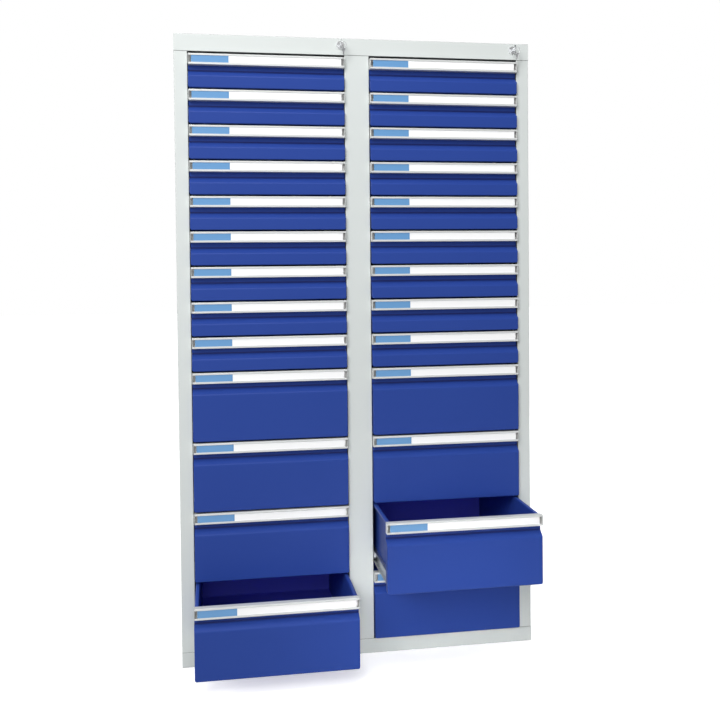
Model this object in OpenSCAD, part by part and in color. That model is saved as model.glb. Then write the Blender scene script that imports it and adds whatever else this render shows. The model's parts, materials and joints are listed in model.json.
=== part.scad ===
// Parts bin cabinet: a welded sheet steel housing with two columns of drawers on roller
// slides, and one lock bar per column that blocks every drawer of that column.
// Front faces -Y, floor at z = 0, origin at the middle of the footprint.

/* [Housing] */
// Overall width
cabinet_w = 1040; // [800:1:1300]
// Overall depth without the drawer fronts
cabinet_d = 600; // [500:1:800]
// Sheet thickness of the housing
housing_t = 1.2; // [1:0.1:2]
// Outside radius of the folds in the housing
housing_bend_r = 2.5; // [2.2:0.1:4]
// Front width of each side post
side_post_w = 38.5; // [34:0.5:60]
// Front width of the centre post
centre_post_w = 73; // [68:0.5:120]
// Depth of the posts along the openings
post_return_d = 28; // [24:0.5:36]
// Width of the stiffening lip inside each post
post_lip_w = 10; // [6:0.5:14]
// Height of the top rail
top_rail_h = 49; // [44:0.5:90]
// Depth of the top rail's lower flange
rail_return_d = 20; // [12:0.5:22]
// Height of the lip behind the top rail
rail_lip_h = 9; // [5:0.5:12]
// Height of the bottom rail, which is the height of the base
bottom_rail_h = 44; // [30:0.5:90]
// Width of the foot flanges under the base
foot_flange_w = 25; // [15:0.5:40]
// Width of the channel under the middle of the base
base_channel_w = 60; // [40:1:120]
// Width of the flanges that hold the back panel
rear_flange_w = 15; // [10:0.5:25]
// Sheet thickness of the centre partition
partition_t = 1; // [0.8:0.1:1.5]
// Sheet thickness of the back panel
back_t = 1; // [0.8:0.1:1.5]

/* [Drawer rows] */
// Number of low drawers in each column
small_rows = 9; // [1:1:9]
// Number of high drawers in each column, below the low ones
large_rows = 4; // [1:1:4]
// Height that one low drawer takes
small_pitch = 100; // [98:1:150]
// Height that one high drawer takes
large_pitch = 200; // [120:1:300]
// Gap under each front
front_gap = 4.5; // [3:0.1:8]
// Gap between the top rail and the first front
top_gap = 8; // [3:0.1:15]
// Gap between the last front and the bottom rail
bottom_gap = 3.5; // [2:0.1:8]
// Gap between a front and the posts at its sides
side_gap = 1.2; // [1:0.1:3]

/* [Drawer fronts] */
// How far the fronts stand proud of the housing
front_proud = 14; // [8:0.5:20]
// Sheet thickness of the fronts
front_t = 1; // [0.8:0.1:1.5]
// Depth of the recess behind the grip
recess_d = 20; // [16:0.5:22]
// Height of the flat of the recess, below the grip
recess_h = 16; // [12:0.5:20]
// Height of the slope from the recess out to the face
slope_h = 15; // [8:0.5:18]
// Radius of the lower corners of a front
front_corner_r = 7; // [2:0.5:9]
// Radius of the folds at the sides and the bottom of a front
front_edge_r = 2.5; // [1.6:0.1:4]

/* [Grip rails] */
// Height of the aluminium grip
grip_h = 31; // [26:0.5:36]
// Wall of the grip
grip_t = 1.3; // [1:0.1:2]
// Depth of the upper lip in front of the label
grip_upper_lip = 5.4; // [3:0.1:7]
// Depth of the lower lip in front of the label
grip_lower_lip = 6; // [3:0.1:7]
// Thickness of the plastic cap at each end of a grip
grip_cap_t = 1.6; // [1:0.1:3]
// Thickness of the label strip with its clear cover
label_t = 0.8; // [0.4:0.1:1.5]
// Bare length of the grip at each end of the label
label_end_gap = 9; // [5:0.5:20]
// Length of the coloured part of the label
index_card_l = 104; // [60:1:160]

/* [Trays] */
// Sheet thickness of the trays
tray_t = 1; // [0.8:0.1:1.3]
// Space between a closed tray and the back of the cabinet
rear_space = 49; // [30:1:120]
// Height of the tray's floor over the lower edge of the front
floor_rise = 19; // [16:0.5:24]
// Width of the outward rim
rim_w = 10; // [7:0.5:11]
// Height of the lip that hangs from the rim
rim_lip_h = 8; // [5:0.5:9]
// How far the rim lies below the top of the grip
rim_drop = 2; // [1.5:0.1:6]

/* [Roller slides] */
// Space between a tray and the edge of its opening
slide_space = 13; // [12.8:0.1:15]
// Sheet thickness of the slides
slide_t = 1.3; // [1:0.1:1.5]
// Height of the channel on the drawer
drawer_channel_h = 35; // [32:0.5:38]
// Height of the channel in the cabinet
cabinet_channel_h = 29; // [26:0.5:30]
// Height of the drawer channel over the lower edge of the front
slide_rise = 20; // [18:0.5:24]
// Width of the rollers
roller_w = 7; // [5:0.5:7.5]
// Running clearance of a roller in its channel, on each side
roller_clear = 0.3; // [0.2:0.05:0.6]
// Diameter of the roller studs
stud_d = 8; // [5:0.5:10]
// How far the last drawer of the left column is pulled out
left_open = 187; // [0:1:400]
// How far the last but one drawer of the right column is pulled out
right_open = 195; // [0:1:400]

/* [Locks] */
// Distance of a lock from the right edge of its opening
lock_inset = 11; // [10.5:0.5:14]
// Distance of a lock below the top of the cabinet
lock_drop = 20; // [18:0.5:22]
// Diameter of the lock's front flange
lock_flange_d = 22; // [20:0.5:26]
// Diameter of the barrel behind the flange
lock_barrel_d = 18; // [16:0.5:19]
// Diameter of the plug that the key turns
lock_plug_d = 13; // [10:0.5:14]
// Radius at which the cam's peg turns
cam_r = 10; // [8:0.5:10.5]
// Diameter of the cam's peg
peg_d = 4; // [3:0.5:5]
// Thickness of the lock bar
bar_t = 2; // [1.5:0.1:2.5]
// Width of the lock bar
bar_w = 20; // [14:0.5:22]
// Height of the finger that blocks a drawer
finger_h = 8; // [6:0.5:9]
// Height of the catch on a drawer
catch_h = 10; // [8:0.5:12]

/* [Hidden] */
// Seam between sheets that are welded to each other
seam = 0.15;
// Gap between sheets that slide past each other
slip = 0.3;
// Straight pieces in one fold
fold_steps = 4;
// Room that the folds of two sheets need where they meet in a corner
corner_room = housing_bend_r + housing_t + seam;
// How far a cut runs past what it cuts
far = 10;
$fn = 48;
rows = small_rows + large_rows;
columns = ["left", "right"];
left = 0;
right = 1;

stack_h = small_rows * small_pitch + large_rows * large_pitch;
cabinet_h = bottom_rail_h + bottom_gap + stack_h - front_gap + top_gap + top_rail_h;
opening_w = (cabinet_w - 2 * side_post_w - centre_post_w) / 2;
front_y = -cabinet_d / 2;
rear_y = cabinet_d / 2;

front_w = opening_w - 2 * side_gap;
face_y = front_y - front_proud;
recess_y = face_y + recess_d;
// The front's folded edges run this far behind the recess, and the tray begins behind them
front_edge_run = 2.2;
front_rear_y = recess_y + front_edge_run;
tray_y = front_rear_y + seam;
tray_w = opening_w - 2 * slide_space;
tray_rear_y = rear_y - rear_space;
tray_inner_r = 1;
tray_bend_r = tray_t + tray_inner_r;
// The upper edge of a front lies this far below the top of its grip
front_top_drop = 1;
front_inner_r = 0.6;
// Radii of the folds from the recess to the slope and from the slope to the face
recess_fold_r = 3;
slope_fold_r = 7;

grip_w = front_w;
grip_inner_r = 0.4;
grip_bend_r = grip_t + grip_inner_r;

// Across a slide, u counts outwards from the side of the tray
drawer_channel_u = 10;
cabinet_web_u = slide_space - seam;
cabinet_flange_u = 3;
slide_inner_r = 0.7;
slide_bend_r = slide_t + slide_inner_r;
front_roller_d = drawer_channel_h - 2 * slide_t - 2 * roller_clear;
rear_roller_d = cabinet_channel_h - 2 * slide_t - 2 * roller_clear;
slide_z = slide_rise + drawer_channel_h / 2;
// The channel in the cabinet starts behind the front and reaches past the tray
channel_setback = 3.8;
channel_overrun = 4;
cabinet_channel_y = [front_rear_y + channel_setback, tray_rear_y + channel_overrun];
// Distance of a roller's rim from the end of the channel that carries it
front_roller_margin = 2;
rear_roller_margin = 3.1;
front_roller_y = cabinet_channel_y[0] + front_roller_d / 2 + front_roller_margin;
rear_roller_y = tray_rear_y - rear_roller_d / 2 - rear_roller_margin;
// Between a roller and the edge of the web or flange beside it
front_roller_side = 1.5;
rear_roller_side = 0.5;
flange_start = 6;
cabinet_flange_y = front_roller_y + front_roller_d / 2 + flange_start;
// Length of the slanted nose of the drawer channel
channel_nose = 12;

lock_z = cabinet_h - lock_drop;
lock_flange_t = 3;
lock_clear = 0.1;
// How far the plug stands proud of the flange
plug_proud = 0.5;
cam_t = 1.5;
// The cam's hub is this much smaller than the plug, and its tip this much larger than the peg
cam_hub_step = 1;
cam_rim = 1.5;
// The cam swings from this angle below the level to the same angle above it
cam_swing = 45;
// The peg runs this much free in the bar's fork
peg_clear = 0.45;
bar_y = front_y + post_return_d + slip;
bar_u = slide_space + housing_t + slip;
fork_wall = 4;
// How far the fork reaches past the peg, and the peg past the bar
fork_reach = 1;
peg_reach = 2;
// Length of the bar below its last finger
bar_end = 10;
cam_to_bar = 4.3;
cam_y = bar_y - cam_to_bar - cam_t;
cam_to_barrel = 1;
lock_barrel_rear_y = cam_y - cam_to_barrel;

// The uprights stand behind the lock bars and near the back of the slides
upright_w = 40;
upright_t = 1.2;
upright_inner_r = 1;
bar_to_upright = 6;
rear_upright_inset = 60;
upright_y = [bar_y + bar_w + bar_to_upright, tray_rear_y - rear_upright_inset];

// A lowered finger lies this far above the slide, and the catch this far above the finger
slide_to_finger = 3;
finger_to_catch = 4;
// Height of a lowered finger over the lower edge of its front
finger_rise = slide_rise + drawer_channel_h + slide_to_finger;
finger_t = 3;
finger_setback = 3.7;
finger_y = bar_y + finger_setback;
finger_tip_u = cabinet_flange_u;
catch_gap = 3;
catch_t = 1.5;
catch_inner_r = 0.5;
catch_foot_l = 20;
catch_tip_u = 9;
catch_rise = finger_rise + finger_h + finger_to_catch;

key_t = 2;
key_bow_d = 20;
key_bow_hole_d = 6;
// The hole in the bow lies this far in front of the bow's middle
key_hole_offset = 4;
key_shank_w = 7;
key_shank_l = 12;

paint_grey = "#d5dad9";
paint_blue = "#2f4c9c";
zinc = "#c3c7ca";
aluminium = "#d9dcdc";
chrome = "#dfe2e4";
cap_grey = "#c4c8c7";
card_blue = "#72ade2";
card_white = "#fbfbfb";

function two_digits(n) = str(n < 10 ? "0" : "", n);
function drawer_name(c, r) = str("drawer_", columns[c], "_", two_digits(r + 1));
function grip_name(c, r) = str("grip_", columns[c], "_", two_digits(r + 1));

// ---- Places ----

function column_x(c) = (c == left ? -1 : 1) * (centre_post_w + opening_w) / 2;
function row_pitch(r) = r < small_rows ? small_pitch : large_pitch;
function height_above(r) = min(r, small_rows) * small_pitch + max(0, r - small_rows) * large_pitch;
function front_h(r) = row_pitch(r) - front_gap;
function front_z(r) = cabinet_h - top_rail_h - top_gap - height_above(r) - front_h(r);
function pulled(c, r) =
    c == left && r == rows - 1 ? left_open : c == right && r == rows - 2 ? right_open : 0;
function rim_z(r) = front_h(r) - rim_drop;
function opening_edge_x(c) = column_x(c) + opening_w / 2;
function lock_x(c) = opening_edge_x(c) - lock_inset;

// Puts a drawer's own shape at its place, as far out as it is pulled
module in_row(c, r) {
    translate([column_x(c), -pulled(c, r), front_z(r)]) children();
}

// Repeats a shape at both sides of a tray, with u as its X
module at_both_sides() {
    for (side = [0, 1]) mirror([side, 0, 0]) translate([tray_w / 2, 0, 0]) children();
}

// ---- Folded sheet ----

function direction(a, b) = (b - a) / norm(b - a);
function left_of(d) = [-d.y, d.x];

// Points of a fold of radius r at corner b, between a and c
function fold(a, b, c, r) =
    let (
        u = direction(b, a),
        v = direction(b, c),
        half = acos(u * v) / 2,
        centre = b + direction([0, 0], u + v) * r / sin(half),
        start = b + u * r / tan(half) - centre,
        end = b + v * r / tan(half) - centre,
        first = atan2(start.y, start.x),
        turn = (atan2(end.y, end.x) - first + 540) % 360 - 180
    )
    [for (k = [0 : fold_steps])
        centre + r * [cos(first + turn * k / fold_steps), sin(first + turn * k / fold_steps)]];

function is_end(path, i) = i == 0 || i == len(path) - 1;

// A path with its corners folded round; r is one radius, or a list with one for each point
function folded(path, r) = [
    for (i = [0 : len(path) - 1])
        each is_end(path, i) ? [path[i]]
            : fold(path[i - 1], path[i], path[i + 1], is_list(r) ? r[i] : r)
];

// The same path moved to its left by d, with mitred corners
function shifted(path, d) = [
    for (i = [0 : len(path) - 1])
        let (
            before = left_of(direction(path[max(i - 1, 0)], path[max(i, 1)])),
            after = left_of(direction(path[min(i, len(path) - 2)], path[min(i + 1, len(path) - 1)]))
        )
        path[i] + d * (before + after) / (1 + before * after)
];

function reversed(path) = [for (i = [len(path) - 1 : -1 : 0]) path[i]];

// Cross-section of a folded sheet: the path is one face, and the thickness lies to its left
module sheet(path, t, r) {
    face = folded(path, r);
    polygon(concat(face, reversed(shifted(face, t))));
}

// Extrusions of an (x, z), a (y, z) and an (x, y) outline
module along_y(y0, y1) {
    translate([0, y1, 0]) rotate([90, 0, 0]) linear_extrude(y1 - y0) children();
}

module along_x(x0, x1) {
    translate([x0, 0, 0]) rotate([90, 0, 90]) linear_extrude(x1 - x0) children();
}

module along_z(z0, z1) {
    translate([0, 0, z0]) linear_extrude(z1 - z0) children();
}

// A box from one corner to the opposite one
module block(low, high) {
    translate(low) cube(high - low);
}

// A disc or ring stock with its axis along Y
module round_y(x, z, y0, y1, d) {
    translate([x, y1, z]) rotate([90, 0, 0]) cylinder(h = y1 - y0, d = d);
}

// ---- Housing ----

module side_sheet() {
    wall_x = -cabinet_w / 2;
    post_x = wall_x + side_post_w;
    post_rear_y = front_y + post_return_d;
    top_z = cabinet_h - housing_t - seam;
    difference() {
        along_z(0, top_z)
            sheet([
                [wall_x + rear_flange_w, rear_y],
                [wall_x, rear_y],
                [wall_x, front_y],
                [post_x, front_y],
                [post_x, post_rear_y],
                [post_x - post_lip_w, post_rear_y]
            ], housing_t, housing_bend_r);
        // The top rail and the base reach over the front edge of the wall
        for (z = [[-far, bottom_rail_h + seam], [cabinet_h - top_rail_h - seam, cabinet_h + far]]) {
            block([wall_x - far, front_y - far, z[0]], [post_x + far, front_y + housing_t + seam, z[1]]);
            block([wall_x + housing_t + seam / 2, front_y - far, z[0]],
                [post_x + far, post_rear_y + far, z[1]]);
        }
        // The flange leaves room for the rear flanges of the top and the base
        for (z = [[-far, bottom_rail_h + seam], [cabinet_h - rear_flange_w - seam, cabinet_h + far]])
            block([wall_x + corner_room, rear_y - corner_room, z[0]],
                [wall_x + rear_flange_w + far, rear_y + far, z[1]]);
        // The rear corner ends below the fold of the top
        block([wall_x + housing_t + seam / 2, rear_y - corner_room, cabinet_h - housing_bend_r - seam],
            [wall_x + rear_flange_w + far, rear_y + far, cabinet_h + far]);
    }
}

// Cuts the slots in which the two side sheets stand
module side_sheet_slots() {
    for (side = [0, 1]) mirror([side, 0, 0]) {
        block([cabinet_w / 2 - housing_t - seam, front_y + housing_t + seam / 2, -far],
            [cabinet_w / 2 + far, rear_y + far, cabinet_h - housing_t - seam / 2]);
        block([cabinet_w / 2 - corner_room - seam, rear_y - corner_room, -far],
            [cabinet_w / 2 + far, rear_y + far, cabinet_h - housing_bend_r]);
    }
}

module top_sheet() {
    rail_z = cabinet_h - top_rail_h;
    difference() {
        along_x(-cabinet_w / 2, cabinet_w / 2)
            sheet([
                [rear_y, cabinet_h - rear_flange_w],
                [rear_y, cabinet_h],
                [front_y, cabinet_h],
                [front_y, rail_z],
                [front_y + rail_return_d, rail_z],
                [front_y + rail_return_d, rail_z + rail_lip_h]
            ], housing_t, housing_bend_r);
        side_sheet_slots();
        for (c = [left, right])
            round_y(lock_x(c), lock_z, front_y - far, front_y + far, lock_barrel_d + 2 * lock_clear);
    }
}

module base_sheet() {
    difference() {
        along_x(-cabinet_w / 2, cabinet_w / 2)
            sheet([
                [rear_y - foot_flange_w, 0],
                [rear_y, 0],
                [rear_y, bottom_rail_h],
                [front_y, bottom_rail_h],
                [front_y, 0],
                [front_y + foot_flange_w, 0]
            ], housing_t, housing_bend_r);
        side_sheet_slots();
    }
}

// The channel under the deck stands on the floor and carries the partition
module base_channel() {
    deck_z = bottom_rail_h - housing_t - seam;
    end_y = rear_y - foot_flange_w - seam;
    along_y(-end_y, end_y)
        sheet([
            [-base_channel_w / 2, deck_z],
            [-base_channel_w / 2, 0],
            [base_channel_w / 2, 0],
            [base_channel_w / 2, deck_z]
        ], housing_t, housing_bend_r);
}

module centre_post() {
    post_x = centre_post_w / 2;
    post_rear_y = front_y + post_return_d;
    along_z(bottom_rail_h + seam, cabinet_h - top_rail_h - seam)
        sheet([
            [-post_x + post_lip_w, post_rear_y],
            [-post_x, post_rear_y],
            [-post_x, front_y],
            [post_x, front_y],
            [post_x, post_rear_y],
            [post_x - post_lip_w, post_rear_y]
        ], housing_t, housing_bend_r);
}

// An upright that carries the slides, with its open side against a wall at wall_x
module upright(edge_x, wall_x, y) {
    out = wall_x > edge_x ? 1 : -1;
    web_x = edge_x + out * seam / 2;
    along_z(bottom_rail_h + seam, cabinet_h - housing_t - seam)
        sheet([
            [wall_x, y],
            [web_x, y],
            [web_x, y + upright_w],
            [wall_x, y + upright_w]
        ], -out * upright_t, upright_t + upright_inner_r);
}

// The fixed part of a lock, which the plug turns in
module lock_housing(c) {
    difference() {
        union() {
            round_y(lock_x(c), lock_z, front_y - lock_flange_t, front_y - seam, lock_flange_d);
            round_y(lock_x(c), lock_z, front_y - lock_flange_t, lock_barrel_rear_y, lock_barrel_d);
        }
        round_y(lock_x(c), lock_z, front_y - far, lock_barrel_rear_y + far,
            lock_plug_d + 2 * lock_clear);
    }
}

module carcass() {
    color(paint_grey) {
        side_sheet();
        mirror([1, 0, 0]) side_sheet();
        top_sheet();
        base_sheet();
        base_channel();
        centre_post();
        for (side = [-1, 1]) for (y = upright_y)
            upright(side * (cabinet_w / 2 - side_post_w),
                side * (cabinet_w / 2 - housing_t - seam), y);
    }
    color(chrome) for (c = [left, right]) lock_housing(c);
}

module centre_partition() {
    color(paint_grey) {
        difference() {
            block([-partition_t / 2, front_y + housing_t + seam, bottom_rail_h + seam],
                [partition_t / 2, rear_y - housing_t - back_t - 2 * seam, cabinet_h - housing_t - seam]);
            // Notch for the flange and the lip of the top rail
            block([-far, front_y - far, cabinet_h - top_rail_h - 2 * seam],
                [far, front_y + rail_return_d + seam, cabinet_h + far]);
        }
        for (side = [-1, 1]) for (y = upright_y)
            upright(side * centre_post_w / 2, side * (partition_t / 2 + seam), y);
    }
}

module back_panel() {
    half_w = cabinet_w / 2 - corner_room;
    rear = rear_y - housing_t - seam;
    color(paint_grey)
        block([-half_w, rear - back_t, bottom_rail_h + seam],
            [half_w, rear, cabinet_h - corner_room]);
}

// ---- Roller slides, drawn at the right side of a tray with u as X ----

module roller(y, u0, u1, d, stud_u) {
    translate([0, y, slide_z]) rotate([0, 90, 0]) {
        translate([0, 0, u0]) cylinder(h = u1 - u0, d = d);
        translate([0, 0, min(u0, stud_u)])
            cylinder(h = max(u1, stud_u) - min(u0, stud_u), d = stud_d);
    }
}

// Channel on the drawer, open outwards, with a roller at its rear end
module drawer_slide() {
    low = slide_rise;
    high = slide_rise + drawer_channel_h;
    roller_u = cabinet_flange_u + rear_roller_side;
    difference() {
        along_y(tray_y + seam, tray_rear_y)
            sheet([
                [drawer_channel_u, high],
                [seam, high],
                [seam, low],
                [drawer_channel_u, low]
            ], slide_t, slide_bend_r);
        along_x(-far, slide_space + far) polygon([
            [tray_y - far, low - far],
            [tray_y + channel_nose + far, low - far],
            [tray_y - far, low + channel_nose + far]
        ]);
    }
    roller(rear_roller_y, roller_u, roller_u + roller_w, rear_roller_d, seam + slide_t / 2);
}

// Channel on the uprights, open towards the tray, with a roller at its front end
module cabinet_slide() {
    low = slide_z - cabinet_channel_h / 2;
    high = slide_z + cabinet_channel_h / 2;
    roller_u = slide_t + front_roller_side;
    difference() {
        along_y(cabinet_channel_y[0], cabinet_channel_y[1])
            sheet([
                [cabinet_flange_u, low],
                [cabinet_web_u, low],
                [cabinet_web_u, high],
                [cabinet_flange_u, high]
            ], slide_t, slide_bend_r);
        // The front roller is higher than the channel, so the flanges start behind it
        block([-far, front_y, low - far],
            [cabinet_web_u - slide_t - seam, cabinet_flange_y, high + far]);
    }
    roller(front_roller_y, roller_u, roller_u + roller_w, front_roller_d,
        cabinet_web_u - slide_t / 2);
}

module fixed_runners() {
    color(zinc)
        for (c = [left, right]) for (r = [0 : rows - 1])
            translate([column_x(c), 0, front_z(r)]) at_both_sides() cabinet_slide();
}

// ---- Drawers, drawn with x from the middle and z from the lower edge of the front ----

module tray(r) {
    wall_x = tray_w / 2;
    lip_x = wall_x + rim_w - tray_t;
    rim = rim_z(r) - tray_t;
    // Floor, side walls and rims are one sheet
    along_y(tray_y, tray_rear_y)
        sheet([
            [-lip_x, rim + tray_t - rim_lip_h],
            [-lip_x, rim],
            [-wall_x, rim],
            [-wall_x, floor_rise],
            [wall_x, floor_rise],
            [wall_x, rim],
            [lip_x, rim],
            [lip_x, rim + tray_t - rim_lip_h]
        ], tray_t, tray_bend_r);
    // The front and back walls stand between the side walls, clear of the fold at the floor
    in_x = wall_x - tray_t - seam;
    in_z = floor_rise + tray_t + seam;
    nip = tray_bend_r - tray_t;
    for (y = [tray_y, tray_rear_y - tray_t])
        along_y(y, y + tray_t) polygon([
            [-in_x, in_z + nip], [-in_x + nip, in_z], [in_x - nip, in_z], [in_x, in_z + nip],
            [in_x, rim_z(r)], [-in_x, rim_z(r)]
        ]);
}

function front_face_path(r) = folded([
    [front_rear_y, front_h(r) - front_top_drop],
    [recess_y, front_h(r) - front_top_drop],
    [recess_y, front_h(r) - grip_h - recess_h],
    [face_y, front_h(r) - grip_h - recess_h - slope_h],
    [face_y, 0],
    [front_rear_y, 0]
], [0, front_t + front_inner_r, recess_fold_r, slope_fold_r, front_edge_r, 0]);

// The form of a front, drawn smaller all round by inset
module front_form(r, inset) {
    path = shifted(front_face_path(r), inset);
    half_w = front_w / 2 - inset;
    corner = front_corner_r - inset;
    edge = front_edge_r - inset;
    high = front_h(r) + far;
    deep = front_rear_y + far;
    intersection() {
        along_x(-half_w, half_w)
            polygon(concat([[deep, path[0].y]], path, [[deep, path[len(path) - 1].y]]));
        along_y(face_y - far, deep + far)
            polygon(folded([[half_w, high], [half_w, inset], [-half_w, inset], [-half_w, high]], corner));
        along_z(-far, high)
            polygon(folded([
                [half_w, deep + far], [half_w, face_y + inset],
                [-half_w, face_y + inset], [-half_w, deep + far]
            ], edge));
    }
}

// Pressed front: a shell that is open behind, with folded edges all round
module front_shell(r) {
    difference() {
        front_form(r, 0);
        front_form(r, front_t);
        block([-front_w, front_rear_y, -far], [front_w, front_rear_y + 3 * far, front_h(r) + far]);
    }
}

// The catch behind which the finger of the lock bar rises
module lock_catch() {
    y = finger_y + finger_t + catch_gap;
    translate([tray_w / 2, 0, 0])
        along_z(catch_rise, catch_rise + catch_h)
            sheet([
                [catch_tip_u, y],
                [seam, y],
                [seam, y + catch_foot_l]
            ], -catch_t, catch_t + catch_inner_r);
}

module drawer(c, r) {
    in_row(c, r) {
        color(paint_blue) {
            tray(r);
            front_shell(r);
            lock_catch();
        }
        color(zinc) at_both_sides() drawer_slide();
    }
}

// Aluminium channel that is open to the front, with a cap at each end and the label behind its lips
module grip(c, r) {
    top = front_h(r);
    low = top - grip_h;
    rear = recess_y - seam;
    outline = [
        [face_y, low + grip_lower_lip],
        [face_y, low],
        [rear, low],
        [rear, top],
        [face_y, top],
        [face_y, top - grip_upper_lip]
    ];
    channel_x = grip_w / 2 - grip_cap_t - seam;
    label_y = face_y + grip_t + seam;
    label_z = [low + grip_t + seam, top - grip_t - seam];
    label_x = grip_w / 2 - label_end_gap;
    in_row(c, r) {
        color(aluminium)
            along_x(-channel_x, channel_x) sheet(outline, grip_t, grip_bend_r);
        color(cap_grey) for (side = [0, 1]) mirror([side, 0, 0])
            along_x(channel_x + seam, grip_w / 2) polygon(folded(outline, grip_bend_r));
        color(card_blue)
            block([-label_x, label_y, label_z[0]],
                [-label_x + index_card_l, label_y + label_t, label_z[1]]);
        color(card_white)
            block([-label_x + index_card_l + seam, label_y, label_z[0]],
                [label_x, label_y + label_t, label_z[1]]);
    }
}

// ---- Locks ----

module key(c) {
    bow_y = front_y - lock_flange_t - key_shank_l - key_bow_d / 2;
    difference() {
        union() {
            translate([lock_x(c) - key_t / 2, bow_y, lock_z]) rotate([0, 90, 0])
                cylinder(h = key_t, d = key_bow_d);
            block([lock_x(c) - key_t / 2, bow_y, lock_z - key_shank_w / 2],
                [lock_x(c) + key_t / 2, front_y, lock_z + key_shank_w / 2]);
        }
        translate([lock_x(c) - key_t, bow_y - key_hole_offset, lock_z]) rotate([0, 90, 0])
            cylinder(h = 2 * key_t, d = key_bow_hole_d);
    }
}

// A hub and a round tip, joined by a tapered arm
module cam_outline(hub_r, tip_r) {
    arm = 0.85;
    circle(r = hub_r);
    translate([cam_r, 0]) circle(r = tip_r);
    polygon([[0, arm * hub_r], [cam_r, arm * tip_r], [cam_r, -arm * tip_r], [0, -arm * hub_r]]);
}

// Plug with its key in front and its cam and peg behind
module lock(c) {
    color(chrome) {
        key(c);
        round_y(lock_x(c), lock_z, front_y - lock_flange_t - plug_proud, cam_y + cam_t / 2, lock_plug_d);
        translate([lock_x(c), cam_y, lock_z]) rotate([0, cam_swing, 0]) {
            along_y(0, cam_t) cam_outline(lock_plug_d / 2 - cam_hub_step, peg_d / 2 + cam_rim);
            round_y(cam_r, 0, 0, bar_y + bar_t + peg_reach - cam_y, peg_d);
        }
    }
}

// Upright strip with a fork at its top for the cam's peg and a finger for each drawer
module lock_bar(c) {
    strip_x = opening_edge_x(c) - slide_space + bar_u;
    fork_z = lock_z - cam_r * sin(cam_swing);
    fork_gap = peg_d / 2 + peg_clear;
    fork_x = lock_x(c) + cam_r * cos(cam_swing) - peg_d / 2 - fork_reach;
    slot_x = lock_x(c) + cam_r + peg_d / 2 + peg_clear;
    low_z = front_z(rows - 1) + finger_rise - bar_end;
    color(zinc) difference() {
        union() {
            block([strip_x, bar_y, low_z], [strip_x + bar_t, bar_y + bar_w, fork_z + fork_gap + fork_wall]);
            block([fork_x, bar_y, fork_z - fork_gap - fork_wall],
                [strip_x + bar_t, bar_y + bar_t, fork_z + fork_gap + fork_wall]);
            for (r = [0 : rows - 1])
                block([opening_edge_x(c) - slide_space + finger_tip_u, finger_y, front_z(r) + finger_rise],
                    [strip_x + bar_t, finger_y + finger_t, front_z(r) + finger_rise + finger_h]);
        }
        block([fork_x - far, bar_y - far, fork_z - fork_gap],
            [slot_x, bar_y + bar_t + far, fork_z + fork_gap]);
    }
}

// ---- Parts ----

carcass();
centre_partition();
back_panel();
fixed_runners();
for (c = [left, right]) {
    lock(c);
    lock_bar(c);
    for (r = [0 : rows - 1]) {
        drawer(c, r);
        grip(c, r);
    }
}
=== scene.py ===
import json
import math
import bmesh
import bpy
from mathutils import Matrix, Vector

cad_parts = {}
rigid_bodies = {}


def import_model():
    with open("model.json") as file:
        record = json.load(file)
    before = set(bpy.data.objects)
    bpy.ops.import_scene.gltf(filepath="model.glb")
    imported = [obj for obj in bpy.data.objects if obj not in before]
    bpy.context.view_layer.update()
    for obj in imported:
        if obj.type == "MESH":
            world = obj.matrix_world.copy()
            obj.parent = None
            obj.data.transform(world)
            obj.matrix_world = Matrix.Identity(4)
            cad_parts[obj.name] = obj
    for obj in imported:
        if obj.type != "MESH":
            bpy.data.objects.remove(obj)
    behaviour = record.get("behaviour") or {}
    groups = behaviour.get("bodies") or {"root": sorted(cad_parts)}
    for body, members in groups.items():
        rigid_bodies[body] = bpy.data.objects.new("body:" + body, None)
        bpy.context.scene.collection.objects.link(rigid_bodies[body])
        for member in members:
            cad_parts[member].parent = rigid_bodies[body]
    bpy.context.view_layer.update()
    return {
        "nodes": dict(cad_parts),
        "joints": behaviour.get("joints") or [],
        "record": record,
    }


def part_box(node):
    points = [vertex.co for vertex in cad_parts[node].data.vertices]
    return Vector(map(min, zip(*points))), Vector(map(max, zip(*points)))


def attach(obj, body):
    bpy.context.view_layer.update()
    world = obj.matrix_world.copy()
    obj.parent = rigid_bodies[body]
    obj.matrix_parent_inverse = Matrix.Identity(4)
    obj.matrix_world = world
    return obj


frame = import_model()
mm = 0.001
print("frame loaded:", len(frame["nodes"]), "nodes")

slideJoints = {j["child"]: j for j in frame["joints"] if j["name"].startswith("slide_")}
lockJoints = [j for j in frame["joints"] if j["name"].startswith("turn_lock_")]
housingLow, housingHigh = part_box("carcass")
frontY = -housingHigh.y  # front of the posts; the housing is centred on y = 0
closedLow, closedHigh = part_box("drawer_right_01")
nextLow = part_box("drawer_right_02")[0]
columnX = (closedLow.x + closedHigh.x) / 2
rowPitch = closedLow.z - nextLow.z
faceY = closedLow.y      # front of a closed drawer


def pulledOut(body):  # how far a drawer stands open at rest
    return round(-slideJoints[body]["range_m"][0], 5)


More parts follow.
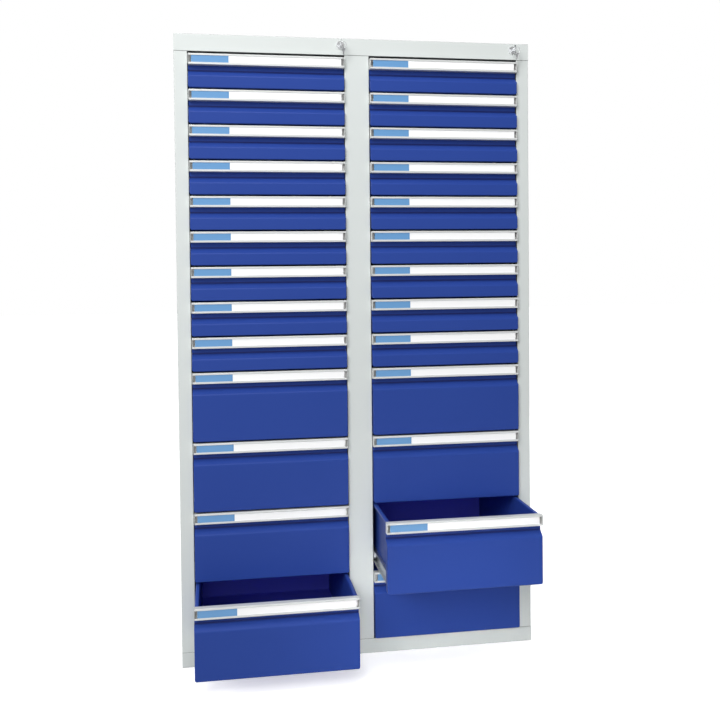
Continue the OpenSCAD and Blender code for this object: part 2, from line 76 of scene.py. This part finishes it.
class Value:
    # a socket that takes part in sums; each sum adds a Math node
    def __init__(self, graph, socket):
        self.graph, self.socket = graph, socket

    def __add__(self, other):
        return self.graph.calc("ADD", self, other)

    def __radd__(self, other):
        return self.graph.calc("ADD", other, self)

    def __sub__(self, other):
        return self.graph.calc("SUBTRACT", self, other)

    def __rsub__(self, other):
        return self.graph.calc("SUBTRACT", other, self)

    def __mul__(self, other):
        return self.graph.calc("MULTIPLY", self, other)

    def __rmul__(self, other):
        return self.graph.calc("MULTIPLY", other, self)

    def __truediv__(self, other):
        return self.graph.calc("DIVIDE", self, other)

    def __rtruediv__(self, other):
        return self.graph.calc("DIVIDE", other, self)

    def __gt__(self, other):
        return self.graph.calc("GREATER_THAN", self, other)

    def __lt__(self, other):
        return self.graph.calc("LESS_THAN", self, other)

    def __abs__(self):
        return self.graph.calc("ABSOLUTE", self)


class Nodes:
    # a node tree that is filled one node at a time
    def __init__(self, tree):
        self.tree = tree

    def node(self, kind, settings=None, inputs=None):
        made = self.tree.nodes.new(kind)
        for name, setting in (settings or {}).items():
            setattr(made, name, setting)
        for key, given in (inputs or {}).items():
            source = given.socket if isinstance(given, Value) else given
            if isinstance(source, bpy.types.NodeSocket):
                self.tree.links.new(source, made.inputs[key])
            else:
                made.inputs[key].default_value = source
        return made


class Graph(Nodes):
    # the nodes of a material or a world
    def __init__(self, owner):
        owner.use_nodes = True
        super().__init__(owner.node_tree)
        self.owner = owner
        self.tree.nodes.clear()

    def value(self, kind, settings=None, inputs=None, output=0):
        return Value(self, self.node(kind, settings, inputs).outputs[output])

    def calc(self, operation, *terms):
        return self.value("ShaderNodeMath", {"operation": operation}, dict(enumerate(terms)))

    def close(self, shader, output):
        self.tree.links.new(shader.outputs[0], self.node(output).inputs[0])
        return self.owner


class Finish(Graph):
    # a material that is read at places on the piece itself
    def __init__(self, name):
        super().__init__(bpy.data.materials.new(name))
        self.place = self.value("ShaderNodeTexCoord", output="Object")
        split = self.node("ShaderNodeSeparateXYZ", inputs={0: self.place})
        self.x, self.y, self.z = (Value(self, split.outputs[i]) for i in range(3))

    def between(self, what, low, high):
        return (what > low) * (what < high)

    def mix(self, factor, first, second):
        return self.value("ShaderNodeMix", {"data_type": "RGBA"}, {0: factor, 6: first, 7: second}, 2)

    def noise(self, size, detail=2.0, stretch=(1, 1, 1)):
        # size is the width of a patch in metres; a stretch below 1 makes it longer that way
        scaled = self.value("ShaderNodeMapping", inputs={0: self.place, 3: [s / size for s in stretch]})
        return self.value("ShaderNodeTexNoise", inputs={0: scaled, "Scale": 1.0, "Detail": detail})

    def bump(self, height, depth):
        # height runs from 0 to 1, over depth metres
        return self.value("ShaderNodeBump", inputs={"Height": height, "Distance": depth, "Strength": 1.0})

    def finish(self, **inputs):
        shader = self.node("ShaderNodeBsdfPrincipled",
                           inputs={name.replace("_", " "): given for name, given in inputs.items()})
        return self.close(shader, "ShaderNodeOutputMaterial")


def colour(red, green, blue):
    return (red, green, blue, 1.0)


powderCoat = {
    "peelSize": 1.6 * mm,      # width of one bump of the orange peel
    "peelDepth": 0.012 * mm,
    "patchSize": 0.35,         # width of the faint patches in the colour
    "roughness": 0.42,
    "wearSize": 40 * mm,
    "wearRoughness": 0.12,     # how much the roughness changes with wear
}


def coatColour(g, look):
    patches = g.noise(powderCoat["patchSize"], detail=3.0)
    return g.mix(patches, look["dark"], look["light"])


def coatRoughness(g):
    wear = g.noise(powderCoat["wearSize"], detail=4.0)
    return powderCoat["roughness"] + (wear - 0.5) * powderCoat["wearRoughness"]


def orangePeel(g):
    return g.noise(powderCoat["peelSize"], detail=3.0)


zincLook = {
    "light": colour(0.68, 0.70, 0.72),
    "dark": colour(0.52, 0.54, 0.57),
    "flakeSize": 9 * mm,
    "flakeTone": 0.45,         # share of the flakes in the colour
    "wornSize": 60 * mm,
    "wornStretch": (1, 0.25, 1),
    "wornTone": 0.5,
    "roughness": 0.34,
    "wornRoughness": 0.2,
    "grainSize": 0.8 * mm,
    "grainDepth": 0.005 * mm,
}


def zincSurface(g):  # colour and roughness of bright zinc
    flakes = g.value("ShaderNodeTexVoronoi", {"feature": "F1"},
                     {0: g.place, "Scale": 1 / zincLook["flakeSize"]}, "Color")
    tone = g.value("ShaderNodeSeparateColor", inputs={0: flakes})
    worn = g.noise(zincLook["wornSize"], stretch=zincLook["wornStretch"])
    metal = g.mix(tone * zincLook["flakeTone"] + worn * zincLook["wornTone"],
                  zincLook["dark"], zincLook["light"])
    return metal, zincLook["roughness"] + (worn - 0.5) * zincLook["wornRoughness"]


def zincSteel():
    g = Finish("zincSteel")
    metal, roughness = zincSurface(g)
    grain = g.noise(zincLook["grainSize"])
    return g.finish(Base_Color=metal, Metallic=1.0, Roughness=roughness,
                    Normal=g.bump(grain, zincLook["grainDepth"]))


housingLook = {
    "light": colour(0.63, 0.665, 0.655),
    "dark": colour(0.60, 0.635, 0.62),
    "inside": colour(0.07, 0.074, 0.073),  # painted shade: near black on the inner faces, so that the gaps between the parts read dark
    "insideFrom": 0.6 * mm,    # from the outer faces
    "insideRear": 2.1 * mm,    # the back panel lies this deep in the rear flanges
    "chrome": colour(0.70, 0.71, 0.72),    # the fixed part of a lock is in the housing's node
    "chromeRoughness": 0.3,
    "flangeRadius": 11.02 * mm,
    "flangeProud": 0.01 * mm,  # a flange begins this far in front of the posts
    "barrelRadius": 9.05 * mm,
    "barrelFrom": 1.3 * mm,    # behind the front of the posts, past the sheet
    "barrelTo": 40 * mm,
    "weldPitch": 0.08,
    "weldRadius": 3.2 * mm,
    "weldFromEdge": 7.5 * mm,
    "weldDepth": 0.25 * mm,
    "weldSkin": 0.1 * mm,      # only faces this near the rear have welds
}


def lockParts(g):  # where the flanges and the barrels of the locks are
    chrome = 0.0
    beforeSheet = g.y < frontY - housingLook["flangeProud"]
    behindSheet = g.between(g.y, frontY + housingLook["barrelFrom"], frontY + housingLook["barrelTo"])
    for joint in lockJoints:
        lockX, _, lockZ = joint["pos_m"]
        across, up = g.x - lockX, g.z - lockZ
        square = across * across + up * up
        flange = beforeSheet * (square < housingLook["flangeRadius"] ** 2)
        barrel = behindSheet * (square < housingLook["barrelRadius"] ** 2)
        chrome = flange + barrel + chrome
    return chrome


# painted shade: marks the faces inside the housing, which are painted near black
def shadedInnerFaces(g):
    skin = housingLook["insideFrom"]
    rear = housingHigh.y - housingLook["insideRear"]
    inner = (abs(g.x) < housingHigh.x - skin) * g.between(g.y, frontY + skin, rear)
    return inner * (g.z < housingHigh.z - skin)


def spotWelds(g):  # shallow dents in the rear flanges, 1 in the middle of each
    pitch, radius = housingLook["weldPitch"], housingLook["weldRadius"]
    edge = housingLook["weldFromEdge"]
    onFlange = g.y > housingHigh.y - housingLook["weldSkin"]
    dents = 0.0
    for across, along in ((abs(g.x) - (housingHigh.x - edge), g.z), (g.z - (housingHigh.z - edge), g.x)):
        step = g.calc("FLOORED_MODULO", along, pitch) - pitch / 2
        distance = g.calc("SQRT", across * across + step * step)
        dents = g.calc("MAXIMUM", dents, 1 - distance / radius)
    return dents * onFlange


def housingPaint():
    g = Finish("housingPaint")
    # painted shade: the inner faces take the near-black colour
    paint = g.mix(shadedInnerFaces(g), coatColour(g, housingLook), housingLook["inside"])
    chrome = lockParts(g)
    dents = spotWelds(g) * (housingLook["weldDepth"] / powderCoat["peelDepth"])
    return g.finish(
        Base_Color=g.mix(chrome, paint, housingLook["chrome"]),
        Metallic=chrome,
        Roughness=coatRoughness(g) * (1 - chrome) + chrome * housingLook["chromeRoughness"],
        Normal=g.bump(orangePeel(g) * (1 - chrome) - dents, powderCoat["peelDepth"]),
    )


drawerLook = {
    "light": colour(0.024, 0.060, 0.295),
    "dark": colour(0.020, 0.052, 0.27),
    "specular": 0.12,
    "tray": colour(0.095, 0.108, 0.66),   # floor and end walls of the tray, painted light: a much lighter blue than the front so that the dim insides of open drawers read lit
    "trayHalfWidth": 209.55 * mm,
    "trayInside": 208.0 * mm,
    # painted shade: a dark line along the fold between the recess and the slope of each front
    "creaseShade": colour(0.010, 0.012, 0.075),
    "creaseHeight": 50 * mm,   # fold between recess and slope, over a multiple of the row pitch
    "creaseReach": 4 * mm,
    "creaseShare": 0.95,
    "creaseDepth": (12 * mm, 20.1 * mm),  # behind the face
    "slideLow": 19.5 * mm,     # band of the slides over the lower edge of the front
    "slideHigh": 55.5 * mm,
    "frontDepth": 22.3 * mm,   # tray and slides begin behind the front
}


def drawerPaint(name, out):
    g = Finish(name)
    face = faceY - out
    height = g.calc("FLOORED_MODULO", g.z - closedLow.z % rowPitch, rowPitch)
    aside = abs(abs(g.x) - columnX)
    behind = g.y > face + drawerLook["frontDepth"]
    # painted light: the tray's floor and end walls take a lighter blue than the front
    trayPaintedLight = behind * (aside < drawerLook["trayInside"])
    paint = g.mix(trayPaintedLight, coatColour(g, drawerLook), drawerLook["tray"])
    nearest, deepest = drawerLook["creaseDepth"]
    inRecess = g.between(g.y, face + nearest, face + deepest)
    # painted shade: darkens a band round the fold inside the recess
    creaseShade = 1 - abs(height - drawerLook["creaseHeight"]) / drawerLook["creaseReach"]
    creaseShade = g.calc("MAXIMUM", creaseShade, 0.0) * inRecess * drawerLook["creaseShare"]
    paint = g.mix(creaseShade, paint, drawerLook["creaseShade"])
    slide = g.between(height, drawerLook["slideLow"], drawerLook["slideHigh"])
    zinc = slide * behind * (aside > drawerLook["trayHalfWidth"])
    metal, metalRoughness = zincSurface(g)
    return g.finish(
        Base_Color=g.mix(zinc, paint, metal),
        Metallic=zinc,
        Roughness=coatRoughness(g) * (1 - zinc) + metalRoughness * zinc,
        Normal=g.bump(orangePeel(g) * (1 - zinc), powderCoat["peelDepth"]),
        Specular_IOR_Level=drawerLook["specular"],
    )


gripLook = {
    "metal": colour(0.63, 0.645, 0.64),
    "metalDark": colour(0.57, 0.585, 0.58),
    "metallic": 0.25,          # the anodised layer scatters most of the light
    "roughness": 0.46,
    "hazeSize": 30 * mm,
    "hazeStretch": (0.2, 1, 1),
    "hazeRoughness": 0.15,
    "lineSize": 0.5 * mm,      # width of the lines that the die leaves
    "lineStretch": (0.002, 1, 1),
    "lineDepth": 0.01 * mm,
    "wall": 1.4 * mm,
    "web": colour(0.88, 0.88, 0.86),      # between the coloured card and the end cap; painted light, near white to lift the shade there
    "stopPaintedLight": colour(0.95, 0.95, 0.94),     # keeps the white card in at the other end; painted light, near white to lift the shade there
    "cap": colour(0.50, 0.52, 0.515),
    "capThickness": 1.7 * mm,
    "indexCard": colour(0.108, 0.285, 0.545),
    "indexEnd": -108.2 * mm,   # the coloured card ends here, from the middle of the drawer
    "whiteCard": colour(0.93, 0.935, 0.94),
    "cardFront": 1.4 * mm,     # depth of the cards behind the front of the grip
    "cardRear": 2.4 * mm,
    "cardHalfLength": 212.4 * mm,
    "cardCoat": 0.3,
    "plasticRoughness": 0.47,  # caps and cards
}


def gripMetal(name, out):
    g = Finish(name)
    low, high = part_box("grip_right_01")
    height = g.calc("FLOORED_MODULO", g.z - low.z % rowPitch, rowPitch)
    inHeight = g.between(height, gripLook["wall"], high.z - low.z - gripLook["wall"])
    depth = g.y - (faceY - out)
    inDepth = g.between(depth, gripLook["cardFront"], gripLook["cardRear"])
    along = g.x - g.calc("SIGN", g.x) * columnX
    besideCard = abs(along) > gripLook["cardHalfLength"]
    card = inHeight * inDepth * (1 - besideCard)
    web = inHeight * (depth > gripLook["cardFront"]) * besideCard
    cap = abs(along) > (high.x - low.x) / 2 - gripLook["capThickness"]
    bare = (1 - card) * (1 - cap) * (1 - web)
    index = along < gripLook["indexEnd"]
    lines = g.noise(gripLook["lineSize"], detail=1.0, stretch=gripLook["lineStretch"])
    haze = g.noise(gripLook["hazeSize"], detail=3.0, stretch=gripLook["hazeStretch"])
    metal = g.mix(cap, g.mix(haze, gripLook["metalDark"], gripLook["metal"]), gripLook["cap"])
    # painted light: the shaded web beside the cards is painted near white at both ends
    metal = g.mix(web, metal, g.mix(along > 0.0, gripLook["web"], gripLook["stopPaintedLight"]))
    cards = g.mix(index, gripLook["whiteCard"], gripLook["indexCard"])
    metalRoughness = gripLook["roughness"] + (haze - 0.5) * gripLook["hazeRoughness"]
    return g.finish(
        Base_Color=g.mix(card, metal, cards),
        Metallic=bare * gripLook["metallic"],
        Roughness=metalRoughness * bare + (1 - bare) * gripLook["plasticRoughness"],
        Coat_Weight=card * gripLook["cardCoat"],
        Normal=g.bump(lines * bare, gripLook["lineDepth"]),
    )


chromeLook = {
    "light": colour(0.58, 0.59, 0.60),
    "dark": colour(0.40, 0.41, 0.42),
    "roughness": 0.34,
    "smearSize": 4 * mm,
    "smearRoughness": 0.16,
    "brushSize": 0.35 * mm,
    "brushStretch": (1, 0.1, 1),
    "brushDepth": 0.004 * mm,
}


def lockChrome():
    g = Finish("lockChrome")
    brush = g.noise(chromeLook["brushSize"], stretch=chromeLook["brushStretch"])
    smear = g.noise(chromeLook["smearSize"], detail=3.0)
    return g.finish(
        Base_Color=g.mix(smear, chromeLook["dark"], chromeLook["light"]),
        Metallic=1.0,
        Roughness=chromeLook["roughness"] + (smear - 0.5) * chromeLook["smearRoughness"],
        Normal=g.bump(brush, chromeLook["brushDepth"]),
    )


zincFinish, chromeFinish, housingFinish = zincSteel(), lockChrome(), housingPaint()
drawerFinishes, gripFinishes = {}, {}  # by how far the drawer is pulled out
for out in sorted({pulledOut(body) for body in slideJoints}):
    label = f"{round(out / mm)}"
    drawerFinishes[out] = drawerPaint("drawerPaint" + label, out)
    gripFinishes[out] = gripMetal("gripAluminium" + label, out)
print("finishes made:", len(bpy.data.materials))


def finishFor(node, body):
    if node.startswith("drawer_"):
        return drawerFinishes[pulledOut(body)]
    if node.startswith("grip_"):
        return gripFinishes[pulledOut(body)]
    if node.startswith(("fixed_runners", "lock_bar")):
        return zincFinish
    if node.startswith("lock_"):
        return chromeFinish
    return housingFinish


def paintNode(node, finish):
    part = frame["nodes"][node]
    if not part.material_slots:
        part.data.materials.append(None)
    for slot in part.material_slots:
        slot.material = finish


for body, nodes in frame["record"]["behaviour"]["bodies"].items():
    for node in nodes:
        paintNode(node, finishFor(node, body))
print("frame painted")


def addPiece(name, mesh, finish, body, smooth=True):
    piece = bpy.data.objects.new(name, mesh)
    bpy.context.scene.collection.objects.link(piece)
    if not mesh.materials:
        mesh.materials.append(finish)
    for polygon in mesh.polygons:
        polygon.use_smooth = smooth
    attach(piece, body)


class Tree(Nodes):
    # a geometry nodes tree with named inputs; grow() runs it once and returns the plain mesh
    def __init__(self, name, inputs):
        super().__init__(bpy.data.node_groups.new(name, "GeometryNodeTree"))
        self.tree.interface.new_socket("Geometry", in_out="INPUT", socket_type="NodeSocketGeometry")
        self.tree.interface.new_socket("Geometry", in_out="OUTPUT", socket_type="NodeSocketGeometry")
        self.ids = {}
        for label, kind in inputs.items():
            socket = self.tree.interface.new_socket(label, in_out="INPUT", socket_type="NodeSocket" + kind)
            self.ids[label] = socket.identifier
        self.given = self.node("NodeGroupInput").outputs
        self.result = self.node("NodeGroupOutput").inputs

    def close(self, geometry, finish):
        real = self.node("GeometryNodeRealizeInstances", inputs={0: geometry})
        finished = self.node("GeometryNodeSetMaterial",
                             inputs={"Geometry": real.outputs[0], "Material": finish})
        self.tree.links.new(finished.outputs[0], self.result[0])
        return self

    def grow(self, name, start, values):
        host = bpy.data.objects.new(name + "Host", start)
        bpy.context.scene.collection.objects.link(host)
        grower = host.modifiers.new("grower", "NODES")
        grower.node_group = self.tree
        for label, value in values.items():
            grower[self.ids[label]] = value
        mesh = bpy.data.meshes.new_from_object(host.evaluated_get(bpy.context.evaluated_depsgraph_get()))
        mesh.name = name
        host.modifiers.remove(grower)
        bpy.data.objects.remove(host)
        return mesh


slideRivets = {
    "headRadius": 2.5 * mm,
    "headHeight": 1 * mm,
    "segments": 12,
    "seed": 7,                 # for the turn of each head
    "count": 4,                # along a slide
    "inset": 0.05,             # first and last rivet from the ends of a slide
    "height": 37.5 * mm,       # over the lower edge of the front
    "webDepth": 1.45 * mm,     # outer face of the slide's web, from the side of the tray
}


def rivetTree():
    tree = Tree("rivetHeads", {"Head Radius": "Float", "Head Height": "Float", "Seed": "Int",
                               "Finish": "Material"})
    given = tree.given
    whole = tree.node("GeometryNodeMeshUVSphere", inputs={
        "Segments": slideRivets["segments"], "Rings": slideRivets["segments"] // 2, "Radius": 1.0})
    size = tree.node("ShaderNodeCombineXYZ", inputs={
        0: given["Head Radius"], 1: given["Head Radius"], 2: given["Head Height"]})
    spots = tree.node("GeometryNodeMeshToPoints", inputs={"Mesh": given["Geometry"]})
    facing = tree.node("GeometryNodeInputNamedAttribute", {"data_type": "FLOAT_VECTOR"}, {"Name": "facing"})
    aligned = tree.node("FunctionNodeAlignRotationToVector", {"axis": "Z"}, {"Vector": facing.outputs[0]})
    turn = tree.node("FunctionNodeRandomValue", {"data_type": "FLOAT"},
                     {"Min": 0.0, "Max": math.tau, "Seed": given["Seed"]})
    spin = tree.node("FunctionNodeAxisAngleToRotation", inputs={"Angle": turn.outputs["Value"]})
    turned = tree.node("FunctionNodeRotateRotation", {"rotation_space": "LOCAL"},
                       {"Rotation": aligned.outputs[0], "Rotate By": spin.outputs[0]})
    heads = tree.node("GeometryNodeInstanceOnPoints", inputs={
        "Points": spots.outputs[0], "Instance": whole.outputs[0],
        "Rotation": turned.outputs[0], "Scale": size.outputs[0]})
    return tree.close(heads.outputs[0], given["Finish"])


rivetHeads = rivetTree()


def fasten(name, body, places):
    # one mesh of heads for a body; places holds a point and the direction that each head faces
    points = bpy.data.meshes.new(name + "Points")
    points.from_pydata([place for place, _ in places], [], [])
    facing = points.attributes.new("facing", "FLOAT_VECTOR", "POINT")
    facing.data.foreach_set("vector", [n for _, direction in places for n in direction])
    mesh = rivetHeads.grow(name, points, {
        "Head Radius": slideRivets["headRadius"], "Head Height": slideRivets["headHeight"],
        "Seed": slideRivets["seed"], "Finish": zincFinish})
    addPiece(name, mesh, zincFinish, body)


def rivetSlides():
    web = drawerLook["trayHalfWidth"] + slideRivets["webDepth"]
    last = slideRivets["count"] - 1
    for body in slideJoints:
        low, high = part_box(body.replace("unit", "drawer"))
        middle, z = (low.x + high.x) / 2, low.z + slideRivets["height"]
        start, end = low.y + drawerLook["frontDepth"] + slideRivets["inset"], high.y - slideRivets["inset"]
        places = []
        for i in range(slideRivets["count"]):
            y = start + (end - start) * i / last
            places += [((middle + side * web, y, z), (side, 0, 0)) for side in (-1, 1)]
        fasten(body.replace("unit", "slideRivets"), body, places)


ringLook = {
    "radius": 8.72 * mm,
    "wire": 0.55 * mm,         # radius of the wire
    "turns": 2.0,
    "steps": 48,               # points in one turn
    "sides": 10,               # faces round the wire
    "lean": 45.0,              # degrees that the ring's middle lies beside the plumb line
    "over": 0.8 * mm,          # the wire passes this far over the middle of the hole
    "holeForward": 29 * mm,    # from the front of the posts to the hole in the key's bow
}


def ringTree():
    tree = Tree("keyRing", {"Ring Radius": "Float", "Wire Radius": "Float", "Turns": "Float",
                            "Coil Height": "Float", "Start": "Vector", "Finish": "Material"})
    given = tree.given
    coil = tree.node("GeometryNodeCurveSpiral", inputs={
        "Resolution": ringLook["steps"], "Rotations": given["Turns"], "Start Radius": given["Ring Radius"],
        "End Radius": given["Ring Radius"], "Height": given["Coil Height"]})
    section = tree.node("GeometryNodeCurvePrimitiveCircle", inputs={
        "Resolution": ringLook["sides"], "Radius": given["Wire Radius"]})
    wire = tree.node("GeometryNodeCurveToMesh", inputs={
        "Curve": coil.outputs[0], "Profile Curve": section.outputs[0], "Fill Caps": True})
    placed = tree.node("GeometryNodeTransform", inputs={
        "Geometry": wire.outputs[0], "Translation": given["Start"], "Rotation": (math.pi / 2, 0, 0)})
    return tree.close(placed.outputs[0], given["Finish"])


keyRings = ringTree()


def keyRing(name, hole):
    # the ring runs round the lower half of the bow, clear of it while the key turns
    lean = math.radians(ringLook["lean"])
    middle = hole + (ringLook["radius"] - ringLook["over"]) * Vector((math.sin(lean), 0, -math.cos(lean)))
    height = 2 * ringLook["wire"] * ringLook["turns"]
    mesh = keyRings.grow(name, bpy.data.meshes.new(name + "Start"), {
        "Ring Radius": ringLook["radius"], "Wire Radius": ringLook["wire"], "Turns": ringLook["turns"],
        "Coil Height": height, "Start": middle + Vector((0, height / 2, 0)), "Finish": chromeFinish})
    addPiece(name, mesh, chromeFinish, "cabinet")
    return middle - Vector((0, 0, ringLook["radius"]))


spareKey = {
    "bowRadius": 6.2 * mm,
    "bowSteps": 32,
    "holeRadius": 1.9 * mm,
    "holeSteps": 20,
    "holeInset": 3.4 * mm,     # middle of the hole from the top of the bow
    "length": 22 * mm,
    "bladeWidth": 4.6 * mm,
    "thickness": 1.7 * mm,
    "turned": 38.0,            # degrees about the plumb line
    "cuts": (1.2 * mm, 0.6 * mm, 1.5 * mm, 0.9 * mm, 1.3 * mm),
    "cutRun": 0.62,            # share of the blade that is cut
    "cutSpan": (0.3, 0.6),     # floor of a cut, as shares of its step
}


def keyOutline():
    # bow at the top, blade below with its cuts at one side; z = 0 at the middle of the hole
    bow, blade, inset = spareKey["bowRadius"], spareKey["bladeWidth"] / 2, spareKey["holeInset"]
    cuts, (spanStart, spanEnd) = spareKey["cuts"], spareKey["cutSpan"]
    centre = inset - bow
    neck = math.asin(blade / bow)
    points = []
    for i in range(spareKey["bowSteps"] + 1):
        angle = -math.pi / 2 + neck + (math.tau - 2 * neck) * i / spareKey["bowSteps"]
        points.append((bow * math.cos(angle), centre + bow * math.sin(angle)))
    tip = inset - spareKey["length"]
    shoulder = centre - bow * math.cos(neck)
    points += [(-blade, tip + blade), (0, tip)]
    run = (shoulder - tip) * spareKey["cutRun"]
    step = run / len(cuts)
    for i, cut in enumerate(cuts):
        z = tip + blade + step * i
        points += [(blade, z), (blade - cut, z + step * spanStart), (blade - cut, z + step * spanEnd)]
    points.append((blade, tip + blade + run))
    return points


def holeOutline():
    radius, steps = spareKey["holeRadius"], spareKey["holeSteps"]
    angles = [math.tau * i / steps for i in range(steps)]
    return [(radius * math.cos(angle), radius * math.sin(angle)) for angle in angles]


def hangKey(name, hang):
    bm = bmesh.new()
    edges = []
    for loop in (keyOutline(), holeOutline()):
        verts = [bm.verts.new((0, across, up)) for across, up in loop]
        edges += [bm.edges.new((verts[i], verts[(i + 1) % len(verts)])) for i in range(len(verts))]
    bmesh.ops.triangle_fill(bm, use_beauty=True, edges=edges)
    body = bmesh.ops.extrude_face_region(bm, geom=bm.faces[:])
    moved = [v for v in body["geom"] if isinstance(v, bmesh.types.BMVert)]
    bmesh.ops.translate(bm, verts=moved, vec=(spareKey["thickness"], 0, 0))
    bmesh.ops.translate(bm, verts=bm.verts, vec=(-spareKey["thickness"] / 2, 0, 0))
    bmesh.ops.rotate(bm, verts=bm.verts, matrix=Matrix.Rotation(math.radians(spareKey["turned"]), 3, "Z"))
    drop = spareKey["holeRadius"] - ringLook["wire"]  # the key rests on the ring's wire
    bmesh.ops.translate(bm, verts=bm.verts, vec=hang - Vector((0, 0, drop)))
    bmesh.ops.recalc_face_normals(bm, faces=bm.faces)
    mesh = bpy.data.meshes.new(name)
    bm.to_mesh(mesh)
    bm.free()
    addPiece(name, mesh, chromeFinish, "cabinet", smooth=False)


rivetSlides()
for joint in lockJoints:
    side = joint["name"].split("_")[-1]
    lockX, _, lockZ = joint["pos_m"]
    lowest = keyRing("keyRing_" + side, Vector((lockX, frontY - ringLook["holeForward"], lockZ)))
    hangKey("spareKey_" + side, lowest)
print("small pieces made")

stageLook = {
    "size": 40.0,
    "floor": colour(0.86, 0.86, 0.86),
    "floorDark": colour(0.83, 0.83, 0.83),
    "floorPatch": 1.5,
    "floorRoughness": 0.7,
    "nearGlow": colour(0.50, 0.50, 0.50),  # the floor is a light table, so that it stays pale all over
    "farGlow": colour(0.95, 0.95, 0.95),
    "glowFrom": 1.0,           # the glow rises between these distances from the middle
    "glowTo": 5.0,
    "white": colour(1, 1, 1),
    "backdrop": 1.0,           # brightness of the background itself
    "around": 0.24,            # brightness of the light that comes from it
    "mirrored": 0.48,          # brightness of its image in metal and gloss
}


def makeFloor():
    g = Finish("floorPaint")
    tone = g.mix(g.noise(stageLook["floorPatch"]), stageLook["floorDark"], stageLook["floor"])
    away = g.calc("SQRT", g.x * g.x + g.y * g.y)
    share = g.value("ShaderNodeMapRange", inputs={
        "Value": away, "From Min": stageLook["glowFrom"], "From Max": stageLook["glowTo"]})
    glow = g.mix(share, stageLook["nearGlow"], stageLook["farGlow"])
    finish = g.finish(Base_Color=tone, Roughness=stageLook["floorRoughness"],
                      Emission_Color=glow, Emission_Strength=1.0)
    bm = bmesh.new()
    bmesh.ops.create_grid(bm, x_segments=1, y_segments=1, size=stageLook["size"] / 2)
    mesh = bpy.data.meshes.new("floor")
    bm.to_mesh(mesh)
    bm.free()
    mesh.materials.append(finish)
    floor = bpy.data.objects.new("floor", mesh)
    floor.visible_diffuse = floor.visible_shadow = False  # it throws no light up at the cabinet
    bpy.context.scene.collection.objects.link(floor)


def makeWorld():
    g = Graph(bpy.data.worlds.new("studio"))
    seen = g.value("ShaderNodeLightPath", output="Is Camera Ray")
    glossy = g.value("ShaderNodeLightPath", output="Is Glossy Ray")
    unseen = glossy * stageLook["mirrored"] + (1 - glossy) * stageLook["around"]
    strength = seen * stageLook["backdrop"] + (1 - seen) * unseen
    background = g.node("ShaderNodeBackground", inputs={"Color": stageLook["white"], "Strength": strength})
    bpy.context.scene.world = g.close(background, "ShaderNodeOutputWorld")
    bpy.context.scene.view_settings.view_transform = "Standard"


housingMiddle = (0, 0, (housingLow.z + housingHigh.z) / 2)
lamps = {
    "key": {"at": (-3.0, -5.0, 4.1), "aim": housingMiddle, "size": 3.4, "watts": 262},
    "top": {"at": (-0.3, -2.0, 3.9), "aim": (0, -0.4, 1.1), "size": 1.2, "watts": 42},
    "front": {"at": (-0.45, -3.1, 1.25), "aim": housingMiddle, "size": 0.8, "watts": 12.5,
              "mirrored": False},
    "low": {"at": (0.1, -2.75, 0.25), "aim": (0.24, -0.3, 0.06), "size": 0.4, "watts": 0.7,
            "spread": 30, "mirrored": False},
    "left": {"at": (-3.6, 0.9, 1.9), "aim": housingMiddle, "size": 1.8, "watts": 60},
    "right": {"at": (3.6, 0.9, 1.9), "aim": housingMiddle, "size": 1.8, "watts": 60},
    "back": {"at": (0.8, 3.9, 2.4), "aim": housingMiddle, "size": 2.0, "watts": 75},
}


def makeLamps():
    for name, lamp in lamps.items():
        light = bpy.data.lights.new(name, "AREA")
        light.shape, light.size, light.energy = "DISK", lamp["size"], lamp["watts"]
        light.spread = math.radians(lamp.get("spread", 180))
        lit = bpy.data.objects.new(name, light)
        lit.location = lamp["at"]
        lit.rotation_euler = (Vector(lamp["aim"]) - lit.location).to_track_quat("-Z", "Y").to_euler()
        lit.visible_glossy = lamp.get("mirrored", True)  # off: it leaves no shine on the fronts
        bpy.context.scene.collection.objects.link(lit)


cameraPlace = {
    "at": (-0.4159, -2.8661, 1.1405),
    "turn": 9.290,             # degrees to the right of +Y
    "tilt": -1.382,            # degrees above the level
    "roll": -0.560,
    "lens": 44.586,
    "sensor": 36,
    "shift": -0.1,
    "near": 0.05,
    "far": 60,
}


def placeCamera():
    turn, tilt, roll = (math.radians(cameraPlace[k]) for k in ("turn", "tilt", "roll"))
    ahead = Vector((math.sin(turn) * math.cos(tilt), math.cos(turn) * math.cos(tilt), math.sin(tilt)))
    level = Vector((math.cos(turn), -math.sin(turn), 0))
    up = level.cross(ahead)
    right = level * math.cos(roll) + up * math.sin(roll)
    top = up * math.cos(roll) - level * math.sin(roll)
    data = bpy.data.cameras.new("camera")
    data.lens, data.sensor_width, data.shift_y = (cameraPlace[k] for k in ("lens", "sensor", "shift"))
    data.clip_start, data.clip_end = cameraPlace["near"], cameraPlace["far"]
    camera = bpy.data.objects.new("camera", data)
    turned = Matrix((right, top, -ahead)).transposed().to_4x4()
    camera.matrix_world = Matrix.Translation(cameraPlace["at"]) @ turned
    bpy.context.scene.collection.objects.link(camera)
    bpy.context.scene.camera = camera


makeFloor()
makeWorld()
makeLamps()
placeCamera()
print("stage set")
